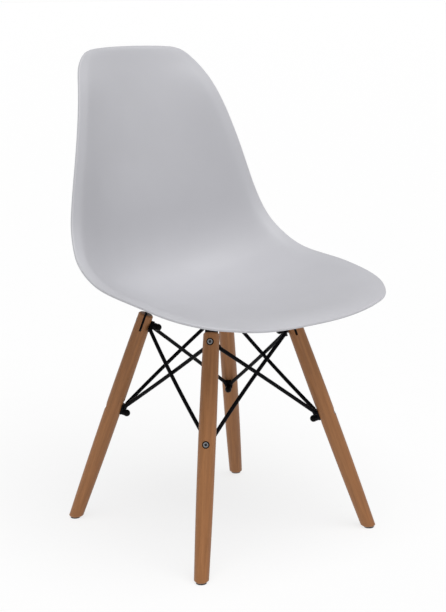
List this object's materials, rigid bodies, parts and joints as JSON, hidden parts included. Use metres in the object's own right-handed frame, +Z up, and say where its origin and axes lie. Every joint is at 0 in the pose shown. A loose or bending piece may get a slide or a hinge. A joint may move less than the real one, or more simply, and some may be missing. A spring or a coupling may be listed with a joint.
{
  "type": "dining chair",
  "caption": "Side chair: a one-piece moulded plastic shell on splayed round wooden legs, braced by crossing black steel rods between the legs.",
  "frame": {"origin": "on the floor, under the middle of the chair's overall width and depth", "axes": "+Z up; the sitter faces -Y, so the sitter's right-hand side is -X"},
  "size_m": [0.4824, 0.4872, 0.8202],
  "materials": {
    "shell_plastic": "fine satin, light grey white",
    "beech": "clear satin lacquer, straight fine grain",
    "black_steel": "satin black powder coat",
    "black_plastic": "satin black",
    "zinc_steel": "dull zinc plate",
    "brass": "turned",
    "rubber": "matt",
    "glide_plastic": "matt dark grey"
  },
  "bodies": {
    "root": {"bracket_front_left": "black_steel", "bracket_front_right": "black_steel", "bracket_rear_left": "black_steel", "bracket_rear_right": "black_steel", "glide_front_left": "glide_plastic", "glide_front_right": "glide_plastic", "glide_rear_left": "glide_plastic", "glide_rear_right": "glide_plastic", "leg_front_left": "beech", "leg_front_right": "beech", "leg_rear_left": "beech", "leg_rear_right": "beech", "lower_bolts": "zinc_steel", "lower_nut_caps": "black_plastic", "lower_nuts": "black_steel", "lower_washers": "black_steel", "lug_front_left": "black_steel", "lug_front_right": "black_steel", "lug_rear_left": "black_steel", "lug_rear_right": "black_steel", "mount_inserts": "brass", "mount_pads": "rubber", "mount_screws": "zinc_steel", "mount_washers": "zinc_steel", "rod_front_left_a": "black_steel", "rod_front_left_b": "black_steel", "rod_front_right_a": "black_steel", "rod_front_right_b": "black_steel", "rod_rear_left_a": "black_steel", "rod_rear_left_b": "black_steel", "rod_rear_right_a": "black_steel", "rod_rear_right_b": "black_steel", "seat_shell": "shell_plastic", "upper_bolts": "zinc_steel", "upper_nut_caps": "black_plastic", "upper_nuts": "black_steel", "upper_washers": "black_steel"}
  },
  "joints": []
}
